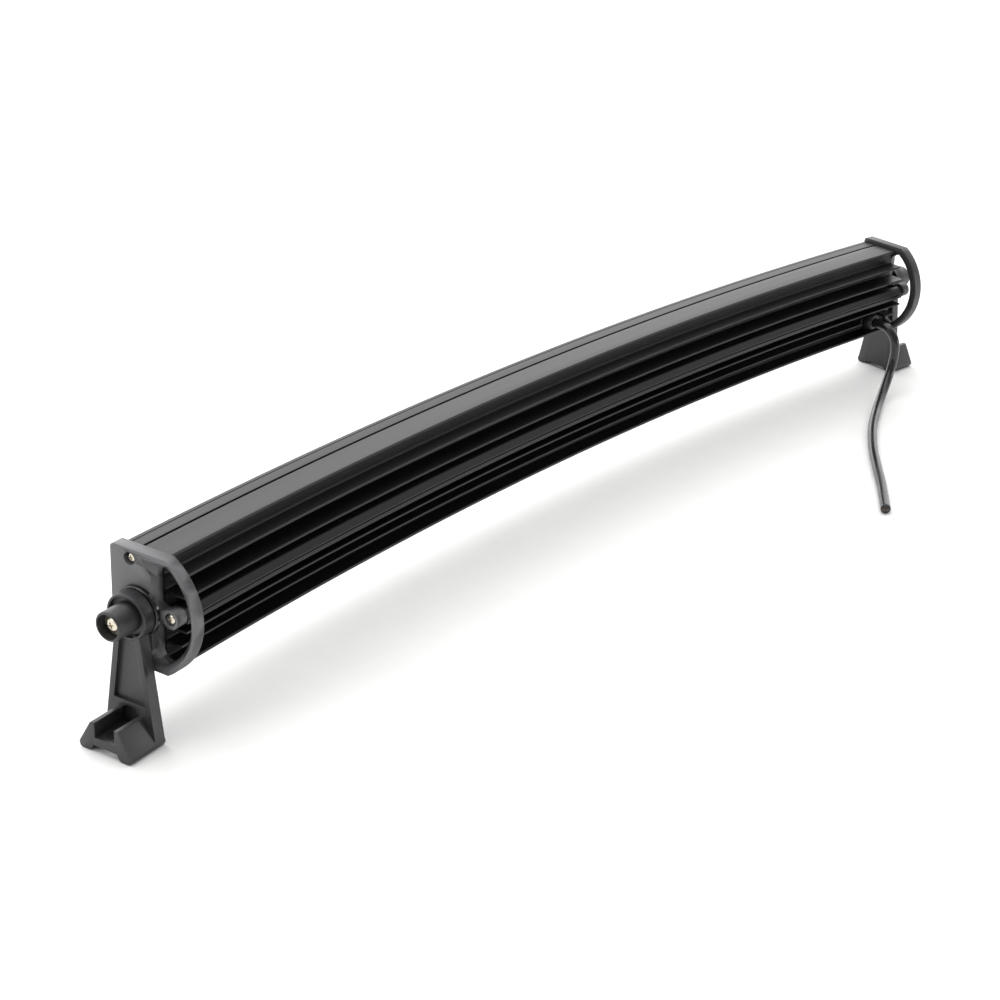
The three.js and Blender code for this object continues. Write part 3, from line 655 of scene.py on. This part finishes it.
def repeatedPiece(name, shapeMesh, matrices, material, mergeMm=0.001):
    points = bpy.data.meshes.new(name)
    points.from_pydata([m.translation for m in matrices], [], [])
    turns = points.attributes.new("turn", "FLOAT_VECTOR", "POINT")
    turns.data.foreach_set("vector", [a for m in matrices for a in m.to_euler()])
    shape = newObject("shapeToRepeat", shapeMesh)
    piece = newObject(name, points)
    modifier = piece.modifiers.new("repeatOnPoints", "NODES")
    modifier.node_group = repeatTree
    setInputs(modifier, {"Shape": shape, "Merge Distance": mergeMm * mm, "Material": material})
    baked(piece)
    bpy.data.objects.remove(shape)
    return piece


print("light engine")

lightSet = {
    "pitch": 30.0, "columns": 10, "boards": 3, "row": 14.6,
    "cellHeight": 28.6, "cellWidth": 29.98, "frontAt": 7.0, "backAt": 25.3, "cupFront": 13.2, "cupBack": 4.6,
    "rings": 9, "sides": 40, "wall": 0.5, "mergeCells": 0.06,
    "domeRadius": 1.45, "domeFlatter": 0.8, "domeRim": 0.15, "domeFoot": 24.58,
}


def reflectorCell():
    # a parabolic cup in a flat face, local X along the bar, Y back, Z up from the strip's middle
    row, height, halfWidth = lightSet["row"], lightSet["cellHeight"], lightSet["cellWidth"] / 2
    frontAt, backAt, rings = lightSet["frontAt"], lightSet["backAt"], lightSet["rings"]
    cupFront, cupBack, spokes = lightSet["cupFront"], lightSet["cupBack"], lightSet["sides"]
    work = bmesh.new()
    cornerAngles = [math.atan2(z - row, x) for x in (-halfWidth, halfWidth) for z in (0, height)]
    angles = [2 * math.pi * i / spokes for i in range(spokes)]
    # the nearest spoke moves to each corner of the cell
    for corner in cornerAngles:
        corner %= 2 * math.pi
        nearest = min(range(len(angles)), key=lambda i: abs(angles[i] - corner))
        angles[nearest] = corner
    border = []
    for angle in angles:
        dx, dz = math.cos(angle), math.sin(angle)
        limits = []
        if abs(dx) > 1e-9:
            limits.append(math.copysign(halfWidth, dx) / dx)
        if abs(dz) > 1e-9:
            limits.append(((height if dz > 0 else 0) - row) / dz)
        reach = min(limits)
        border.append(work.verts.new((dx * reach * mm, frontAt * mm, (row + dz * reach) * mm)))
    loops = [border]
    for k in range(rings):
        share = k / (rings - 1)
        radius = math.sqrt(cupFront ** 2 + (cupBack ** 2 - cupFront ** 2) * share)
        depth = frontAt + (backAt - frontAt) * share
        loops.append([work.verts.new(Vector((radius * math.cos(a), depth, row + radius * math.sin(a))) * mm)
                      for a in angles])
    for a, b in zip(loops, loops[1:]):
        for i in range(len(angles)):
            j = (i + 1) % len(angles)
            work.faces.new((a[i], a[j], b[j], b[i]))
    mesh = bpy.data.meshes.new("reflectorCell")
    work.to_mesh(mesh)
    work.free()
    return mesh


def ledDome():
    # silicone dome on a small round foot, pointing forwards
    radius, rim = lightSet["domeRadius"], lightSet["domeRadius"] + lightSet["domeRim"]
    tall, footFront, footBack = radius * lightSet["domeFlatter"], -0.1, 0.12
    profile = [(0, footBack), (rim, footBack), (rim, footFront)]
    profile += [(radius * math.cos(math.radians(a)), footFront - tall * math.sin(math.radians(a)))
                for a in range(0, 90, 15)]
    profile.append((0, footFront - tall))
    mesh = turnedMesh(profile, 16)
    mesh.transform(turnBack)
    return mesh


cell, dome = reflectorCell(), ledDome()
halfTurn = Matrix.Rotation(math.pi, 4, "Y")
for board in range(lightSet["boards"]):
    # where each column of this board stands along the arc
    columns = [(board - lightSet["boards"] / 2) * lightSet["pitch"] * lightSet["columns"]
               + (k + 0.5) * lightSet["pitch"] for k in range(lightSet["columns"])]
    cells = [backFrame(s, 0) @ turn for s in columns for turn in (Matrix.Identity(4), halfTurn)]
    strip = repeatedPiece(f"reflectorStrip{board + 1}", cell.copy(), cells, brightReflector,
                          lightSet["mergeCells"])
    thick = strip.modifiers.new("wall", "SOLIDIFY")
    thick.thickness = lightSet["wall"] * mm
    thick.offset = 1.0
    baked(strip)
    smooth(strip.data, 40)
    finishPiece(strip, [f"reflector_strip_{board + 1}"])
    domes = [backFrame(s, v) @ Matrix.Translation((0, lightSet["domeFoot"] * mm, 0))
             for s in columns for v in (lightSet["row"], -lightSet["row"])]
    leds = repeatedPiece(f"ledDomes{board + 1}", dome.copy(), domes, phosphor)
    smooth(leds.data, 40)
    finishPiece(leds)


print("castings")

castingSet = {
    "capEdge": 0.45, "bracketEdge": 0.8,      # mm of softened edge
    "edgeSteps": 3, "mergeAt": 0.02,
    "flatWithin": 0.6, "sharperThan": 38, "creaseAt": 24,    # degrees
}


# the CAD shape with its edges softened
def softenedCopy(nodeName, name, edgeWidth):
    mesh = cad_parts[nodeName].data.copy()
    work = bmesh.new()
    work.from_mesh(mesh)
    bmesh.ops.remove_doubles(work, verts=work.verts, dist=castingSet["mergeAt"] * mm)
    bmesh.ops.dissolve_limit(work, angle_limit=math.radians(castingSet["flatWithin"]), verts=work.verts,
                             edges=work.edges)
    work.to_mesh(mesh)
    work.free()
    piece = newObject(name, mesh, blackCasting)
    soft = piece.modifiers.new("softEdges", "BEVEL")
    soft.width = edgeWidth * mm
    soft.segments = castingSet["edgeSteps"]
    soft.limit_method = "ANGLE"
    soft.angle_limit = math.radians(castingSet["sharperThan"])
    soft.use_clamp_overlap = True
    soft.miter_outer = "MITER_ARC"
    baked(piece)
    smooth(piece.data, castingSet["creaseAt"])
    return piece


sides = ("right", "left")
for side in sides:
    cap = softenedCopy(f"cap_{side}", f"endCap{side.title()}", castingSet["capEdge"])
    finishPiece(cap, [f"cap_{side}"])
    bracket = softenedCopy(f"bracket_{side}", f"bracket{side.title()}", castingSet["bracketEdge"])
    finishPiece(bracket, [f"bracket_{side}"], body=f"bracket_{side}")


print("fasteners")

screwSet = {
    # name, u, v and how far outwards the head sits
    "places": [("upper", 13.3, 33.0, 4.9), ("lower", 13.3, -33.0, 4.9), ("rear", 44.0, 0.0, 5.7)],
    "head": 3.5, "headHeight": 2.3, "shank": 1.85, "tail": -12.0,
    "recessLength": 3.9, "recessWidth": 0.95, "recessDepth": 1.3,
}
boltSet = {
    "u": 20.4, "headTop": 34.6, "threadEnd": 2.2,
    "head": 4.9, "headHeight": 2.4, "shank": 3.0,
    "recessLength": 5.2, "recessWidth": 1.3, "recessDepth": 1.5,
}
# radius, then where the ring starts and stops outwards
ringSet = {"washer": (7.0, 31.1, 31.9), "spacer": (16.9, 9.1, 12.3), "bore": 3.4}
threadSet = {"pitch": 1.0, "depth": 0.22}


def panHeadScrew(sizes, tail):
    # seat at local X = 0, head outwards, with a tapered cross recess
    head, height, shank, recessLength, recessWidth, recessDepth = (sizes[key] for key in (
        "head", "headHeight", "shank", "recessLength", "recessWidth", "recessDepth"))
    top = [(head * math.cos(math.radians(a)) ** 0.75, height * (0.38 + 0.62 * math.sin(math.radians(a))))
           for a in range(0, 90, 15)]
    threads = []
    root = shank - threadSet["depth"]
    for i in range(int((-tail - 1) / threadSet["pitch"])):
        at = tail + 0.6 + i * threadSet["pitch"]
        threads += [(root, at), (shank, at + 0.4), (shank, at + 0.5), (root, at + 0.9)]
    mesh = turnedMesh([(0, tail), (shank - 0.5, tail), *threads, (shank, -0.1), (shank, 0), (head, 0), *top,
                       (0, height)], 32)
    screw = newObject("screw", mesh)
    for turn in (20, 110):    # degrees of the cross's two slots
        work = bmesh.new()
        bmesh.ops.create_cube(work, size=1)
        for vert in work.verts:    # each slot narrows and shortens towards its floor
            deep = vert.co.x < 0
            vert.co = Vector(((height - recessDepth if deep else height + 1) * mm,
                              vert.co.y * recessLength * (0.45 if deep else 1.1) * mm,
                              vert.co.z * recessWidth * (0.7 if deep else 1.15) * mm))
        toolMesh = bpy.data.meshes.new("recess")
        work.to_mesh(toolMesh)
        work.free()
        toolMesh.transform(Matrix.Rotation(math.radians(turn), 4, "X"))
        tool = newObject("recess", toolMesh)
        cutter = screw.modifiers.new("recess", "BOOLEAN")
        cutter.object = tool
        cutter.solver = "EXACT"
        baked(screw)
        bpy.data.objects.remove(tool)
    mesh = screw.data
    bpy.data.objects.remove(screw)
    return mesh


# local X points outwards at either end, and a turned shape looks the same after a half turn
def endPlace(side, outwards, u, v):
    place = backFrame(halfLength, 0) @ Matrix.Translation(Vector((outwards, u, v)) * mm)
    if side == "right":
        return place
    at = place.translation
    return Matrix.Translation((-at.x, at.y, at.z)) @ Matrix.Rotation(math.pi - bar["halfAngle"], 4, "Z")


screwMesh = panHeadScrew(screwSet, screwSet["tail"])
screwPlaces = [endPlace(side, seat, u, v) for side in sides for _, u, v, seat in screwSet["places"]]
capScrews = repeatedPiece("capScrews", screwMesh, screwPlaces, brightSteel)
smooth(capScrews.data, 35)
finishPiece(capScrews, [f"cap_screw_{place[0]}_{side}" for side in sides
                                        for place in screwSet["places"]])

boltSeat = boltSet["headTop"] - boltSet["headHeight"]
boltMesh = panHeadScrew(boltSet, boltSet["threadEnd"] - boltSeat)
boltPlaces = [endPlace(side, boltSeat, boltSet["u"], 0) for side in sides]
pivotBolts = repeatedPiece("pivotBolts", boltMesh, boltPlaces, brightSteel)
smooth(pivotBolts.data, 35)
finishPiece(pivotBolts, ["pivot_bolt_right", "pivot_bolt_left"])

bore = ringSet["bore"]
outer, inboard, outboard = ringSet["washer"]
washerMesh = turnedMesh([(bore, inboard), (outer - 0.15, inboard), (outer, inboard + 0.15),
                         (outer, outboard - 0.15), (outer - 0.045, outboard - 0.045),
                         (outer - 0.15, outboard), (bore, outboard)], 40)
outer, inboard, outboard = ringSet["spacer"]
spacerMesh = turnedMesh([(bore, inboard), (outer - 0.2, inboard), (outer, inboard + 0.2),
                         (outer, outboard - 0.9), (outer - 0.12, outboard - 0.45),
                         (outer - 0.45, outboard - 0.12),
                         (outer - 0.9, outboard), (outer - 2.6, outboard), (outer - 3.0, outboard - 0.35),
                         (bore, outboard - 0.35)], 72)
for name, mesh, material, slotName, node in (
        ("pivotWasher", washerMesh, brightSteel, "bright_steel", "pivot_washer"),
        ("pivotSpacer", spacerMesh, glossNylon, "gloss_nylon", "pivot_spacer")):
    for side in sides:
        shape = placedMesh(mesh, [endPlace(side, 0, boltSet["u"], 0)])
        smooth(shape, 35)
        finishPiece(newObject(f"{name}{side.title()}", shape, material), [f"{node}_{side}"])


print("gland")

glandSet = {
    "bore": 4.6, "flutes": 12, "fluteDepth": 0.5, "flutedFrom": 6.9,
    "threadTurns": 9, "threadRoot": 5.45, "threadCrest": 5.7, "threadStart": 23.1,
}

glandPlace = backFrame(hole["s"], hole["v"]) @ turnBack    # it sits in the cable's hole
bore, root, crest = (glandSet[key] for key in ("bore", "threadRoot", "threadCrest"))
bodyThread = [(radius, glandSet["threadStart"] + i + step) for i in range(glandSet["threadTurns"])
              for radius, step in ((root, 0), (crest, 0.3), (crest, 0.5), (root, 0.8))]
glandShapes = [    # name, (radius, distance back) round its outline, node
    ("glandBody", [(bore, 22.8), (5.4, 22.8), *bodyThread, (5.6, 32.3), (8.4, 32.3), (8.8, 32.7), (8.8, 36.1),
                   (8.4, 36.5), (bore, 36.5)], "gland_body"),
    ("glandLocknut", [(6.0, 24.2), (7.6, 24.2), (8.0, 24.6), (8.0, 27.3), (7.6, 27.7), (6.0, 27.7)],
     "gland_locknut"),
    ("glandNut", [(bore, 36.8), (7.8, 36.8), (8.2, 37.2), (8.2, 41.5), (7.9, 42.8), (7.3, 44.4), (6.6, 45.4),
                  (5.8, 46.0), (4.7, 46.0), (bore, 45.8)], "gland_nut"),
]
for name, profile, node in glandShapes:
    shape = turnedMesh(profile, 96, glandSet["fluteDepth"], glandSet["flutes"], glandSet["flutedFrom"])
    shape = placedMesh(shape, [glandPlace])
    smooth(shape, 40)
    finishPiece(newObject(name, shape, blackNylon), [node])


print("kept nodes")

# CAD nodes whose shape is already right
keptNodes = {"lead_tail": cableJacket, "lens_seal_upper": blackRubber, "lens_seal_lower": blackRubber,
             "cap_gasket_right": blackRubber, "cap_gasket_left": blackRubber,
             "led_board_1": solderMask, "led_board_2": solderMask, "led_board_3": solderMask}
for name, material in keptNodes.items():
    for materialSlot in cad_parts[name].material_slots:
        materialSlot.material = material
